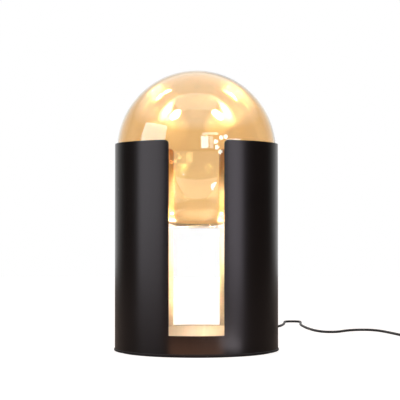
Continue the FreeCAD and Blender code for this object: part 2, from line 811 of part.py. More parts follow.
def coil_path():
    """Turns that wind inwards on the table, climb a layer in half a turn, and wind out again."""
    pitch = size.lead_diameter.value + size.coil_turn_gap.value
    layer = size.lead_diameter.value + size.coil_layer_gap.value
    inner = size.coil_inner_radius.value
    halves = 5
    outer = inner + halves * pitch / 2
    low = lead_radius.value + size.coil_lift.value
    start = FreeCAD.Vector(COIL_START[0], drum_radius.value + COIL_START[1], low)
    middle = start + FreeCAD.Vector(outer, -size.lead_diameter.value, 0)
    front, back = FreeCAD.Vector(0, -1, 0), FreeCAD.Vector(0, 1, 0)

    def side_point(sign, radius, height):
        return FreeCAD.Vector(middle.x + sign * radius, middle.y, height)

    curves = [Part.LineSegment(start, side_point(-1, outer, low))]
    place, sign = side_point(-1, outer, low), -1
    for half in range(1, halves + 1):
        following = side_point(-sign, outer - half * pitch / 2, low)
        curves.append(half_turn(place, following, front if sign < 0 else back))
        place, sign = following, -sign

    summit_radius = math.sqrt(inner * inner + layer * layer / 4)
    summit = FreeCAD.Vector(middle.x, middle.y + summit_radius, low + layer / 2)
    landing = side_point(-1, inner, low + layer)
    curves.append(Part.Arc(*quarter_turn(place, summit, back)))
    curves.append(Part.Arc(*reversed(quarter_turn(landing, summit, back))))
    place, sign = landing, -1
    for half in range(1, halves + 1):
        following = side_point(-sign, inner + half * pitch / 2, low + layer)
        curves.append(half_turn(place, following, front if sign < 0 else back))
        place, sign = following, -sign
    end = place + back * size.lead_diameter.value
    curves.append(Part.LineSegment(place, end))
    return curves, middle, end, outer


def quarter_turn(foot, summit, heading):
    """Three points of the quarter circle that leaves foot along heading and reaches summit."""
    chord = summit - foot
    radius = chord.Length / math.sqrt(2)
    inward = (chord - heading * radius).normalize()
    centre = foot + inward * radius
    bulge = ((foot - centre) + (summit - centre)).normalize()
    return foot, centre + bulge * radius, summit


def least_gap(curves, diameter):
    """The smallest space between stretches of the coil that aren't neighbours along it."""
    points, travelled = [], 0.0
    for curve in curves:
        steps = max(2, int(curve.length() / 1.5))
        first, last = curve.FirstParameter, curve.LastParameter
        for step in range(steps):
            parameter = first + (last - first) * step / steps
            points.append((travelled + curve.length() * step / steps, curve.value(parameter)))
        travelled += curve.length()
    gap = min(one.distanceToPoint(other)
              for index, (along, one) in enumerate(points)
              for further, other in points[index:] if further - along > 4 * diameter)
    return gap - diameter


def lead():
    total = lead_stretch("lead_to_switch", lead_points(TO_SWITCH))
    total += lead_stretch("lead_from_switch", lead_points(FROM_SWITCH))

    curves, middle, end, outer = coil_path()
    solid, run = tube([curve.toShape() for curve in curves], lead_radius.value)
    keep(shaped("lead_coil", solid))
    total += run
    print(f"lead_coil: length {run:.0f}, least gap {least_gap(curves, size.lead_diameter.value):.2f}")

    tail = [end + FreeCAD.Vector(*step) for step in TO_PLUG]
    total += lead_stretch("lead_to_plug", tail)
    print(f"lead: {total:.0f} mm in all")
    coil_tie(middle, outer)
    plug(tail[-1])


def coil_tie(middle, outer):
    """A strap round the bundle of turns, on the side nearest the front."""
    radius, diameter = lead_radius.value, size.lead_diameter.value
    layer = diameter + size.coil_layer_gap.value
    quarter_pitch = (diameter + size.coil_turn_gap.value) / 4
    width, sheet_thickness = size.tie_width.value, size.tie_thickness.value
    low, high = size.coil_lift.value, size.coil_lift.value + diameter + layer
    near = middle.y - (outer - quarter_pitch) - radius
    far = middle.y - (size.coil_inner_radius.value + quarter_pitch) + radius
    slack = 0.25
    sag = 0.35
    hole = Part.makeBox(width, far - near + 2 * slack + sag, high - low + 2 * slack,
                        FreeCAD.Vector(middle.x - width / 2, near - slack, low - slack))
    spread = slack + sheet_thickness
    strap = Part.makeBox(width, far - near + 2 * spread + sag, high - low + 2 * spread,
                         FreeCAD.Vector(middle.x - width / 2, near - spread, low - spread))
    along = [edge for edge in strap.Edges if abs(edge.tangentAt(edge.FirstParameter).x) > 0.9]
    keep(shaped("coil_tie", strap.makeFillet(sheet_thickness * 2, along).cut(hole)))


def plug(mouth):
    """A flat two-pin plug that lies on the table, with its pins pointing back."""
    height = mouth.z
    x, y = mouth.x, mouth.y + size.plug_relief_length.value
    wide, narrow = size.plug_width.value / 2, size.plug_neck_width.value / 2
    full = size.plug_length.value
    thickness = size.plug_thickness.value
    plan = [(-narrow, 0), (narrow, 0), (wide, full * 0.55), (wide, full), (-wide, full),
            (-wide, full * 0.55)]
    low = height - thickness / 2
    corners = [FreeCAD.Vector(x + across, y + along, low) for across, along in plan]
    slab = Part.Face(Part.makePolygon(corners + corners[:1])).extrude(
        FreeCAD.Vector(0, 0, thickness))
    slab = slab.makeFillet(2.4, slab.Edges)
    tip, root_radius = lead_radius.value + 0.9, lead_radius.value + 2.6
    back = FreeCAD.Vector(0, 1, 0)
    relief = Part.makeCone(tip, root_radius, size.plug_relief_length.value + 2, mouth, back)
    body = slab.fuse(relief).removeSplitter()

    pins, holes = [], []
    for side in (-1, 1):
        start = FreeCAD.Vector(x + side * size.pin_spacing.value / 2, y + full - 6, height)
        reach = size.pin_length.value + 6
        pin = Part.makeCylinder(size.pin_radius.value, reach, start, back)
        rim = [edge for edge in pin.Edges if edge.CenterOfMass.y > start.y + reach - 0.01]
        pins.append(pin.makeFillet(size.pin_radius.value * 0.6, rim))
        holes.append(Part.makeCylinder(size.pin_radius.value, reach, start, back))
    keep(shaped("plug_body", body.cut(holes[0].fuse(holes[1]))))
    keep(shaped("plug_pins", Part.makeCompound(pins)))


def lead_entry():
    """Where the lead comes in: strain relief in the wall, clamp, and the sheath's inner end."""
    tip = lead_radius + size.relief_tip_wall
    thick = lead_radius + size.relief_root_wall
    bore = lead_radius + size.thread_gap
    flange = size.relief_neck_radius + 1.6
    inner_face = -size.drum_wall - 0.2
    outline = [(bore, inner_face - size.relief_flange), (flange, inner_face - size.relief_flange),
               (flange, inner_face), (size.relief_neck_radius, inner_face),
               (size.relief_neck_radius, 0), (flange, 0), (flange, size.relief_flange)]
    ribs = 5
    room = size.relief_length - size.relief_flange - 2
    for rib in range(ribs):
        start = size.relief_flange + rib / ribs * room
        radius = thick - (thick - tip) * (rib / ribs)
        outline += [(radius - 0.5, start), (radius - 0.5, start + room / ribs * 0.3),
                    (radius, start + room / ribs * 0.3), (radius, start + room / ribs)]
    outline += [(tip, size.relief_length - 2), (tip, size.relief_length), (bore, size.relief_length)]
    keep(turned("strain_relief", outline, (0, drum_radius, entry_height), AXIS_TO_BACK))

    sheath_end = drum_radius - size.sheath_back
    keep(cylinder("lead_tail", lead_radius, drum_radius + size.relief_length - sheath_end,
                  (0, sheath_end, entry_height), AXIS_TO_BACK))

    clamp_y = drum_radius - size.clamp_back
    groove = cylinder("clamp_groove", lead_radius + size.thread_gap, size.clamp_depth,
                      (0, clamp_y - size.clamp_depth / 2, entry_height), AXIS_TO_BACK)
    half = size.clamp_width / 2
    front, back = clamp_y - size.clamp_depth / 2, clamp_y + size.clamp_depth / 2
    bar_top = entry_height + size.clamp_bar_height
    saddle_blank = box("saddle_blank", (-half, front, plate_top), (half, back, entry_height))
    bar_blank = box("clamp_bar_blank", (-half, front, entry_height), (half, back, bar_top))
    holes, screws = [], []
    for number, side in enumerate((-1, 1), start=1):
        x = side * size.clamp_width * 0.35
        holes.append(cylinder(f"clamp_hole_{number}", size.small_screw_radius + size.thread_gap,
                              bar_top - plate_top - 1.5, (x, clamp_y, plate_top + 1.5)))
        screws.append(pan_screw(f"clamp_screw_{number}", bar_top - plate_top - 2, x, clamp_y,
                                bar_top))
    keep(cut("clamp_saddle", saddle_blank, [groove] + holes))
    keep(cut("clamp_bar", bar_blank, [groove] + holes))
    keep(group("clamp_screws", screws))


def pan_screw(label, shank_length, x, y, z):
    """A slotted pan-head screw driven down; z is the face under its head."""
    radius = size.small_screw_radius
    head, height = radius * 1.8, radius
    blank = turned(label + "_blank", [
        (0, -shank_length), (radius, -shank_length), (radius, 0), (head, 0),
        (head, height * 0.6), (head - height * 0.4, height), (0, height)], (x, y, z))
    slit = centred_box(label + "_slit", (x, y, z + height), (head * 2.2, radius * 0.4, height))
    return cut(label, blank, [slit])


def wiring():
    """The terminal block, the sheath's two cores and a pair of wires to each holder."""
    block_y = drum_radius - size.block_back
    front, back = block_y - size.block_depth / 2, block_y + size.block_depth / 2
    half = size.block_width / 2
    top = plate_top + size.block_height
    height = (plate_top + size.block_height / 2).value
    wire, gap = size.wire_radius.value, size.thread_gap.value
    blank = box("block_blank", (-half, front, plate_top), (half, back, top))
    rear_holes = [-4.0, 4.0]
    front_holes = [-9.0, -3.0, 3.0, 9.0]
    bores = []
    depth = size.block_depth * 0.4
    middle = plate_top + size.block_height / 2
    for number, x in enumerate(rear_holes + front_holes, start=1):
        start = back - depth if number <= len(rear_holes) else front
        bores.append(cylinder(f"block_bore_{number}", size.wire_radius + size.thread_gap, depth,
                              (x, start, middle), AXIS_TO_BACK))
    screws = []
    for number, x in enumerate((-9.0, -3.0, 3.0, 9.0), start=1):
        bores.append(cylinder(f"block_screw_hole_{number}", size.small_screw_radius * 1.05, 3,
                              (x, block_y, top - 3)))
        blank_screw = cylinder(f"block_screw_blank_{number}", size.small_screw_radius, 2.2,
                               (x, block_y, top - 3))
        slit = centred_box(f"block_screw_slit_{number}", (x, block_y, top - 0.8), (3.4, 0.6, 1.4))
        screws.append(cut(f"block_screw_{number}", blank_screw, [slit]))
    keep(cut("terminal_block", blank, bores))
    keep(group("terminal_screws", screws))

    sheath_end = (drum_radius - size.sheath_back).value
    inside = 3.0
    cores = []
    for side in (-1, 1):
        route = [(side * 0.95, sheath_end, entry_height.value),
                 (side * 0.95, sheath_end - 4, entry_height.value),
                 (side * 3.4, sheath_end - 12, height + 0.6),
                 (side * 4.0, back.value + 3, height), (side * 4.0, back.value - inside, height)]
        cores.append(tube(tangent_route([FreeCAD.Vector(*point) for point in route])[0], wire)[0])
    keep(shaped("lead_cores", Part.makeCompound(cores)))

    under = floor_top.value - size.nipple_tail.value
    for name, side in (("left", -1), ("right", 1)):
        pair = []
        for number, start_x in enumerate((3.0, 9.0)):
            end_x = size.holder_spread.value + 2.6 * number - 1.3
            shift = 4.5 * number
            route = [(start_x, front.value + inside, height),
                     (start_x, front.value - 3, height),
                     (start_x + 9, front.value - 12 + shift, height - 1.5),
                     (30 + start_x * 0.5, 9 + shift, plate_top.value + 2.5),
                     (54, 3 + shift, plate_top.value + 2.0),
                     (end_x - 4, 0.6 + shift * 0.4, plate_top.value + 2.6),
                     (end_x, 0, under), (end_x, 0, under + 14),
                     (end_x + 0.1, 0.1, holder_foot.value + 12)]
            points = [FreeCAD.Vector(side * x, y, z) for x, y, z in route]
            pair.append(tube(tangent_route(points)[0], wire)[0])
        keep(shaped(f"{name}_wires", Part.makeCompound(pair)))


# Rocker switch in the lead


def switch():
    y_near = drum_radius + size.switch_back
    middle = y_near + size.switch_length / 2
    y_far = y_near + size.switch_length
    split = lead_radius + 5.5
    half = size.switch_width / 2
    wall, end = size.switch_wall, size.switch_end
    pivot = size.rocker_pivot_height
    opening = (size.rocker_reach + size.rocker_gap) * 2
    mouth = size.rocker_width + size.rocker_gap * 2

    sockets = [cylinder(f"switch_socket_{name}", lead_radius + size.thread_gap, 4, place,
                        AXIS_TO_BACK)
               for name, place in (("near", (0, y_near, split)), ("far", (0, y_far - 4, split)))]
    lower = rounded_half("switch_base_blank", half, y_near, y_far, 0, split, "low")
    lower_room = box("switch_base_room", (-half + wall, y_near + end, wall),
                     (half - wall, y_far - end, split))
    upper = rounded_half("switch_cover_blank", half, y_near, y_far, split, size.switch_height,
                         "high")
    upper_room = box("switch_cover_room", (-half + wall, y_near + end, split),
                     (half - wall, y_far - end, size.switch_height - wall))
    window = centred_box("rocker_window", (0, middle, size.switch_height - wall / 2),
                         (mouth, opening, wall * 3))
    pin_length = size.switch_width - wall * 2 + 2
    pin_hole = cylinder("rocker_pin_hole", size.rocker_pin_radius, pin_length,
                        (-pin_length / 2, middle, pivot), AXIS_TO_RIGHT)
    screw_holes, screws = [], []
    for number, y in enumerate((y_near + end * 0.7, y_far - end * 0.7), start=1):
        x = half * 0.62 * (1 if number == 1 else -1)
        shank = split + 4
        screw_holes.append(cylinder(f"switch_screw_hole_{number}",
                                    size.small_screw_radius * 0.8 + size.thread_gap, shank - 1,
                                    (x, y, 1)))
        screw_holes.append(cylinder(f"switch_screw_well_{number}", size.small_screw_radius * 1.5,
                                    2.4, (x, y, 0)))
        screws.append(cylinder(f"switch_screw_shank_{number}", size.small_screw_radius * 0.8,
                               shank - 2.4, (x, y, 2.3)))
        screws.append(cylinder(f"switch_screw_head_{number}", size.small_screw_radius * 1.4, 1.6,
                               (x, y, 0.8)))
    keep(cut("switch_base", lower, [lower_room] + sockets + screw_holes))
    keep(cut("switch_cover", upper, [upper_room, window, pin_hole] + sockets + screw_holes))
    keep(group("switch_screws", [fuse("switch_screw_one", screws[:2]),
                                 fuse("switch_screw_two", screws[2:])]))
    keep(cylinder("rocker_pin", size.rocker_pin_radius - size.thread_gap,
                  pin_length - 2 * size.running_gap,
                  (-pin_length / 2 + size.running_gap, middle, pivot), AXIS_TO_RIGHT))

    rocker_width = size.rocker_width
    rocker_top = size.switch_height + size.rocker_proud
    rocker_foot = pivot - 2.6
    slab = centred_box("rocker_slab", (0, middle, (rocker_foot + rocker_top) / 2),
                       (rocker_width, size.rocker_reach * 2, rocker_top - rocker_foot))
    sweep = cylinder("rocker_sweep", size.rocker_reach, rocker_width,
                     (-rocker_width / 2, middle, pivot), AXIS_TO_RIGHT)
    nub = cylinder("rocker_nub", 1.2, 3.4, (0, middle, pivot - 5.2))
    dish_middle = rocker_top - size.rocker_dish_depth + size.rocker_dish_radius
    dish = cylinder("rocker_dish", size.rocker_dish_radius, rocker_width * 2,
                    (-rocker_width, middle, dish_middle), AXIS_TO_RIGHT)
    bore = cylinder("rocker_bore", size.rocker_pin_radius, rocker_width * 2,
                    (-rocker_width, middle, pivot), AXIS_TO_RIGHT)
    blank = fuse("rocker_blank", [common("rocker_round", slab, sweep), nub])
    level_rocker = cut("level_rocker", blank, [dish, bore])
    keep(tipped("switch_rocker", level_rocker, size.rocker_tilt, middle, pivot))

    lever_foot = wall + 2.7
    lever_plate = centred_box("lever_plate", (0, middle, lever_foot + 0.4), (5, 14, 0.8))
    lever_barrel = cylinder("lever_barrel", size.lever_barrel_radius, 5, (-2.5, middle, lever_foot),
                            AXIS_TO_RIGHT)
    level_lever = fuse("level_lever", [lever_plate, lever_barrel])
    keep(tipped("contact_lever", level_lever, -size.lever_tilt, middle, lever_foot))
    cradle = centred_box("fulcrum_blank", (0, middle, wall + 1.2), (5, 3.6, 2.4))
    groove = cylinder("fulcrum_groove", size.lever_barrel_radius + 0.08, 5,
                      (-2.5, middle, lever_foot), AXIS_TO_RIGHT)
    terminals = [cut("switch_fulcrum", cradle, [groove])]
    for name, side in (("near", -1), ("far", 1)):
        place = (0, middle + side * 8.5, wall + 0.85)
        terminals.append(centred_box(f"switch_terminal_{name}", place, (5, 6, 1.7)))
    keep(group("switch_terminals", terminals))


def tipped(label, level_piece, degrees, y, z):
    """A piece that rests turned about the X axis through (y, z)."""
    piece = doc.addObject("Part::Compound", label)
    piece.Links = [level_piece]
    centre = FreeCAD.Vector(0, y.value, z.value)
    turn = FreeCAD.Rotation(FreeCAD.Vector(1, 0, 0), degrees.value)
    piece.Placement = FreeCAD.Placement(FreeCAD.Vector(), turn, centre)
    return piece


def rounded_half(label, half, y_near, y_far, low, high, rounded_side):
    """One half of the switch's case, rounded in plan and along its outer edge."""
    blank = box(label + "_box", (-half, y_near, low), (half, y_far, high))
    doc.recompute()
    upright, outer = [], []
    outer_height = (length(low) if rounded_side == "low" else length(high)).value
    for number, edge in enumerate(blank.Shape.Edges, start=1):
        middle = edge.CenterOfMass
        if abs(edge.tangentAt(edge.FirstParameter).z) > 0.9:
            upright.append((number, 6.0, 6.0))
        elif abs(middle.z - outer_height) < 1e-6:
            outer.append((number, 1.2, 1.2))
    fillet = doc.addObject("Part::Fillet", label)
    fillet.Base = blank
    fillet.Edges = upright + outer
    return fillet


base()
drum()
globe_stand()
globe()
shared_holder_parts()
for side_name, side_x in (("left", -size.holder_spread), ("right", size.holder_spread)):
    holder(side_name, side_x)
    bulb(side_name, side_x)
lead_entry()
wiring()
switch()
lead()
doc.recompute()

# Every object is checked before anything is written

for item in doc.Objects:
    if "Invalid" in item.State or "Error" in item.State:
        raise ValueError(f"{item.Label} is in state {item.State}")
for piece in subparts:
    if piece.Shape.isNull() or not piece.Shape.isValid() or not piece.Shape.Solids:
        raise ValueError(f"{piece.Label} has no valid solid")

os.makedirs("parts", exist_ok=True)
for piece in subparts:
    piece.Shape.exportStep(f"parts/{piece.Label}.step")
print(f"{len(subparts)} sub-parts, {sum(len(piece.Shape.Solids) for piece in subparts)} solids")
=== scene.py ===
# %% [markdown]
# # A table lamp: a slotted black drum with an amber glass globe
#
# The lamp is a steel drum, black outside and white inside, with a wide slot in front and a
# narrower one behind. A blown glass globe stands on a thin ring in its top half, above two small
# bulbs that the drum hides. The solids come from the CAD model in metres, so this script only adds
# what a solid can't say: the flexible lead, the paint, the glass, the glowing filaments, and the
# light of a plain studio.

import math

import bpy
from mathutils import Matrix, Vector


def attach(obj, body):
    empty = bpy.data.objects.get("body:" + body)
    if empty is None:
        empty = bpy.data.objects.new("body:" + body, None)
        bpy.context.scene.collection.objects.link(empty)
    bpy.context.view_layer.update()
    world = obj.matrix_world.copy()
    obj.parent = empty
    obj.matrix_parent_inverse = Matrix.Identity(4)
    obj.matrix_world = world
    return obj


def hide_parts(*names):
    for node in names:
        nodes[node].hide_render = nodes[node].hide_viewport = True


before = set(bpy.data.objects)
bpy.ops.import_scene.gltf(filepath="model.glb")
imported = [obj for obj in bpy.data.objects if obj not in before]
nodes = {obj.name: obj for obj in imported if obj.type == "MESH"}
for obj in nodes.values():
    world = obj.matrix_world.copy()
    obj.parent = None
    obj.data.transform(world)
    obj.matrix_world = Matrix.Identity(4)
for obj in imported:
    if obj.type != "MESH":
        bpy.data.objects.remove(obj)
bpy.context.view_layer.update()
scene = bpy.context.scene
MM = 0.001

# %% [markdown]
# ## The camera
#
# The photo was taken level with the middle of the drum, from nearly two metres away, with a long
# lens. A long lens keeps the drum's sides almost parallel. The foot of the drum curves down and its
# rim curves up only a little, and those two curves give the distance and the height.

# %% Place the camera
CAMERA_DISTANCE = 1.870
CAMERA_HEIGHT = 0.1616
PITCH_UP = math.radians(1.284)
TURN_RIGHT = math.radians(0.145)
LENS, SENSOR = 124.5, 36.0

camera_data = bpy.data.cameras.new("photo_camera")
camera_data.lens = LENS
camera_data.sensor_width = SENSOR
camera = bpy.data.objects.new("photo_camera", camera_data)
camera.location = (0.0, -CAMERA_DISTANCE, CAMERA_HEIGHT)
camera.rotation_euler = (math.radians(90) + PITCH_UP, 0.0, -TURN_RIGHT)
scene.collection.objects.link(camera)
bpy.context.scene.camera = camera
print(f"camera {CAMERA_DISTANCE} m in front, lens {LENS} mm")

# %% [markdown]
# ## How the picture is shown
#
# The Standard view shows a colour as it is written, where other views would bend it. Cycles also
# cuts off very bright light that arrives after several bounces, to keep noise away. Here the
# mirror images of the bulbs in the globe are just such light, so nothing is cut off.

# %% View and clamp
scene.view_settings.view_transform = "Standard"
scene.cycles.sample_clamp_indirect = 0.0
print("view:", scene.view_settings.view_transform)

# %% [markdown]
# ## The lead
#
# A lead is a fixed length of something flexible that lies where its weight and its stiffness leave
# it. A polyline would look like bent wire. A NURBS curve of order 3 only leans towards its points,
# so it bends evenly, and a round bevel gives it thickness. The points are the route of the CAD
# model: x from the middle of the lamp, y from the back of the drum, and how far the lead is lifted
# off the table, all in millimetres.

# %% The route over the table
LEAD_RADIUS = 2.0
DRUM_BACK = 110.0
LYING = 0.2
TO_SWITCH = [
    (0, 26.5, 11.0), (0, 38, 11.0), (1.2, 51.5, 4.8), (1.0, 64, 2.4), (0, 76, 5.5), (0, 86, 5.5)]
FROM_SWITCH = [
    (0, 148, 5.5), (0, 159, 5.5), (1.5, 175, 1.4), (7, 198, LYING), (20, 228, LYING),
    (42, 256, LYING), (72, 274, LYING), (102, 291, LYING), (128, 317, LYING), (141, 350, LYING),
    (148, 384, LYING), (151.5, 414, LYING), (153.6, 438, LYING), (154.6, 456.6, LYING),
    (162.5, 465.4, LYING), (174.6, 465.5, LYING), (182.6, 456.8, LYING), (181.8, 438, LYING),
    (179.5, 412, LYING), (177, 375, LYING), (179, 335, LYING), (182, 294, LYING),
    (188, 252, LYING), (195, 226, LYING), (202.5, 212, LYING), (215.5, 208.8, LYING),
    (226.5, 216.5, LYING), (232, 228, LYING), (246, 248, LYING), (262, 258, LYING),
    (282, 256, LYING), (294, 234, LYING), (303, 198, LYING), (312, 152, LYING),
    (321, 112, LYING), (325.6, 92, 1.0), (325.6, 79, 1.0)]
print(f"route: {len(TO_SWITCH)} points to the switch, {len(FROM_SWITCH)} from there to the coil")

# %% [markdown]
# ## The spare length
#
# The photo shows less than half a metre of a lead that is about 1.8 m long. The rest is put away as
# for storage, in a neat coil just outside the view. Its turns could be drawn by hand, but a coil is
# easier to describe: a radius that shrinks by one pitch a turn, one layer up, and out again. The
# curve runs a little inside its points, so each point stands a little outside its turn.

# %% The coil and the way to the plug
COIL_OUTER, COIL_INNER = 29.9, 16.4
COIL_PITCH = 5.4
COIL_LAYER = 4.6
COIL_START_X, _, COIL_LIFT = FROM_SWITCH[-1]
COIL_MIDDLE = (COIL_START_X + COIL_OUTER, 75.0)
POINTS_PER_HALF_TURN = 8
TO_PLUG = [(0, 4, 5.6), (0, 12, 5.6), (-4.2, 21, 5.35), (-10.6, 29, 4.85), (-12.4, 37.5, 4.85),
           (-12.4, 46, 4.85)]


def coil_points():
    """Turns that wind in on the table, climb a layer in half a turn, and wind out again."""
    step = math.pi / POINTS_PER_HALF_TURN
    halves_in = round((COIL_OUTER - COIL_INNER) / (COIL_PITCH / 2))
    points = []
    for index in range(POINTS_PER_HALF_TURN * (2 * halves_in + 1)):
        turned = (index + 0.5) * step
        halves = turned / math.pi
        if halves < halves_in:
            radius, climb = COIL_OUTER - halves * COIL_PITCH / 2, 0.0
        elif halves < halves_in + 1:
            radius, climb = COIL_INNER, halves - halves_in
        else:
            radius, climb = COIL_INNER + (halves - halves_in - 1) * COIL_PITCH / 2, 1.0
        radius /= math.cos(step / 2)
        angle = math.pi + turned
        points.append((COIL_MIDDLE[0] + radius * math.cos(angle),
                       COIL_MIDDLE[1] + radius * math.sin(angle), COIL_LIFT + climb * COIL_LAYER))
    return points


coil = coil_points()
coil_end = COIL_MIDDLE[0] + COIL_OUTER
plug_route = [(coil_end + x, COIL_MIDDLE[1] + y, lift) for x, y, lift in TO_PLUG]
print(f"coil: {len(coil)} points, {COIL_OUTER * 2:.0f} mm across its outer turns")


# %% Lay the lead along its route
def lay_lead(name, route):
    """A round lead on one smooth curve that leans towards the points of its route."""
    curve = bpy.data.curves.new(name, "CURVE")
    curve.dimensions = "3D"
    curve.bevel_depth = 1.0
    curve.bevel_resolution = 5
    curve.use_fill_caps = True
    curve.resolution_u = 5
    spline = curve.splines.new("NURBS")
    spline.points.add(len(route) - 1)
    for point, (x, y, lift) in zip(spline.points, route):
        place = Vector((x, DRUM_BACK + y, LEAD_RADIUS + lift)) * MM
        point.co = (*place, 1.0)
        point.radius = LEAD_RADIUS * MM
    spline.order_u = 3
    spline.use_endpoint_u = True
    lead = bpy.data.objects.new(name, curve)
    scene.collection.objects.link(lead)
    return lead


short_lead = lay_lead("lead_lamp_to_switch", TO_SWITCH)
long_lead = lay_lead("lead_switch_to_plug", FROM_SWITCH + coil + plug_route)
print("lead laid in two stretches, before and after its switch")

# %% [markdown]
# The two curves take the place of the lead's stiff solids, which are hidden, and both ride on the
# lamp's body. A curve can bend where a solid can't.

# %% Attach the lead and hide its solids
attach(short_lead, "lamp")
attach(long_lead, "lamp")
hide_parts("lead_to_switch")
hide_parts("lead_from_switch", "lead_coil", "lead_to_plug")
print("lead: 60 mm to the switch and 1.76 m from there to the plug")

# %% [markdown]
# ## How each finish is built
#
# A real finish is never one flat colour. Powder paint has a fine orange-peel texture, moulded
# plastic has a faint grain, and hands and cloths leave patches that shine a little less. Each such
# effect is a small shader node group with its own inputs, and every material places the groups that
# it needs with its own values. The groups give out heights and masks only. The shader itself stays
# in the material.


# %% Groups and their sockets
def start_group(name, inputs, outputs):
    """A shader node group with named sockets; gives the tree and its input and output nodes."""
    tree = bpy.data.node_groups.new(name, "ShaderNodeTree")
    for label, value in inputs.items():
        socket = tree.interface.new_socket(name=label, in_out="INPUT",
                                           socket_type="NodeSocketFloat")
        socket.default_value = value
    for label in outputs:
        tree.interface.new_socket(name=label, in_out="OUTPUT", socket_type="NodeSocketFloat")
    return tree, tree.nodes.new("NodeGroupInput"), tree.nodes.new("NodeGroupOutput")


def add_node(tree, kind, links=(), **values):
    """A node with plain values on its sockets and properties, and links to other sockets."""
    node = tree.nodes.new(kind)
    for name, value in values.items():
        setattr(node, name, value)
    for socket, source in dict(links).items():
        if hasattr(source, "is_linked"):
            tree.links.new(source, node.inputs[socket])
        else:
            node.inputs[socket].default_value = source
    return node


print("ready: start_group, add_node")


# %% Sums, ramps and places
def math_node(tree, operation, *values, clamp=False):
    """A sum, product or comparison of numbers and sockets."""
    return add_node(tree, "ShaderNodeMath", dict(enumerate(values)), operation=operation,
                    use_clamp=clamp).outputs[0]


def product(tree, first, *others):
    """All the values multiplied with each other."""
    for other in others:
        first = math_node(tree, "MULTIPLY", first, other)
    return first


def between(tree, value, low, high, start=0.0, end=1.0):
    """A value that goes from low to high as another one goes from start to end."""
    return add_node(tree, "ShaderNodeMapRange", {
        "Value": value, "From Min": start, "From Max": end, "To Min": low, "To Max": high,
    }).outputs[0]


def object_point(tree):
    """Where the shaded point is on the object, in metres."""
    return tree.nodes.new("ShaderNodeTexCoord").outputs["Object"]


print("ready: math_node, product, between, object_point")

# %% [markdown]
# Powder paint and moulded plastic share a fine pebbled surface. Two noises of different size make
# it: the fine one for the pebbles and a slow one for the way that the gloss drifts over a large
# panel.

# %% Pebbled surface
DRIFT_SCALE = 14.0

pebble, pebble_in, pebble_out = start_group("pebbled_surface", {"Scale": 900.0},
                                            ["Height", "Drift"])
fine = add_node(pebble, "ShaderNodeTexNoise",
                {"Vector": object_point(pebble), "Scale": pebble_in.outputs["Scale"],
                 "Detail": 2.0, "Roughness": 0.55})
slow = add_node(pebble, "ShaderNodeTexNoise",
                {"Vector": object_point(pebble), "Scale": DRIFT_SCALE, "Detail": 3.0,
                 "Roughness": 0.5})
pebble.links.new(fine.outputs[0], pebble_out.inputs["Height"])
pebble.links.new(slow.outputs[0], pebble_out.inputs["Drift"])
print("group:", pebble.name)

# %% [markdown]
# Handling leaves faint, cloudy patches and a little dust. A noise pushed through a steep ramp gives
# islands with soft shores, and a second, finer noise breaks them up.

# %% Handling marks
SPECK_SCALE = 420.0

handled, handled_in, handled_out = start_group("handling_marks", {"Scale": 30.0}, ["Mask"])
cloud = add_node(handled, "ShaderNodeTexNoise",
                 {"Vector": object_point(handled), "Scale": handled_in.outputs["Scale"],
                  "Detail": 5.0, "Roughness": 0.62, "Distortion": 0.4})
speck = add_node(handled, "ShaderNodeTexNoise",
                 {"Vector": object_point(handled), "Scale": SPECK_SCALE, "Detail": 2.0})
islands = between(handled, cloud.outputs[0], 0.0, 1.0, start=0.48, end=0.68)
broken = math_node(handled, "MULTIPLY", islands, speck.outputs[0], clamp=True)
handled.links.new(broken, handled_out.inputs["Mask"])
print("group:", handled.name)

# %% [markdown]
# Turned and plated metal carries fine lines that run round its axis. Noise that is squeezed along
# one direction makes such lines: points at the same height see the same value.

# %% Turned lines
LINE_SQUEEZE = (60.0, 60.0, 4200.0)

turned, turned_in, turned_out = start_group("turned_lines", {"Scale": 1.0}, ["Height"])
squeeze = add_node(turned, "ShaderNodeMapping",
                   {"Vector": object_point(turned), "Scale": LINE_SQUEEZE})
lines = add_node(turned, "ShaderNodeTexNoise",
                 {"Vector": squeeze.outputs[0], "Scale": turned_in.outputs["Scale"],
                  "Detail": 2.0})
turned.links.new(lines.outputs[0], turned_out.inputs["Height"])
print("group:", turned.name)

# %% [markdown]
# ## From groups to materials
#
# A material starts from Blender's Principled shader. Colours are blended by a mask, and a height
# becomes small hills through a Bump node. These few moves come back in every finish, so each is
# a short function.


# %% Place a group, blend and bump
def place_group(tree, group, **values):
    """A shader group in a material, with its own values."""
    node = add_node(tree, "ShaderNodeGroup", node_tree=group)
    for label, value in values.items():
        node.inputs[label].default_value = value
    return node


def dimmed(colour, share):
    """The same colour with only this share of its light."""
    return tuple(channel * share for channel in colour)


def blend_colour(tree, mask, first, second):
    """The first colour where the mask is 0, and the second where it is 1."""
    mix = add_node(tree, "ShaderNodeMix", data_type="RGBA")
    for socket, source in (("Factor_Float", mask), ("A_Color", first), ("B_Color", second)):
        target = next(item for item in mix.inputs if item.identifier == socket)
        if hasattr(source, "is_linked"):
            tree.links.new(source, target)
        else:
            target.default_value = (*source, 1.0)
    return next(item for item in mix.outputs if item.identifier == "Result_Color")


def bump(tree, shader, height, distance):
    """Small hills on the surface, this many metres high."""
    node = add_node(tree, "ShaderNodeBump", {"Height": height, "Distance": distance,
                                             "Strength": 1.0})
    tree.links.new(node.outputs[0], shader.inputs["Normal"])


print("ready: place_group, dimmed, blend_colour, bump")


# %% Start a material, and give it to solids
def start_material(name, **sockets):
    """A material with one Principled shader; sockets are plain values by their label."""
    material = bpy.data.materials.new(name)
    material.use_nodes = True
    tree = material.node_tree
    shader = tree.nodes["Principled BSDF"]
    for label, value in sockets.items():
        shader.inputs[label.replace("_", " ")].default_value = value
    return material, tree, shader


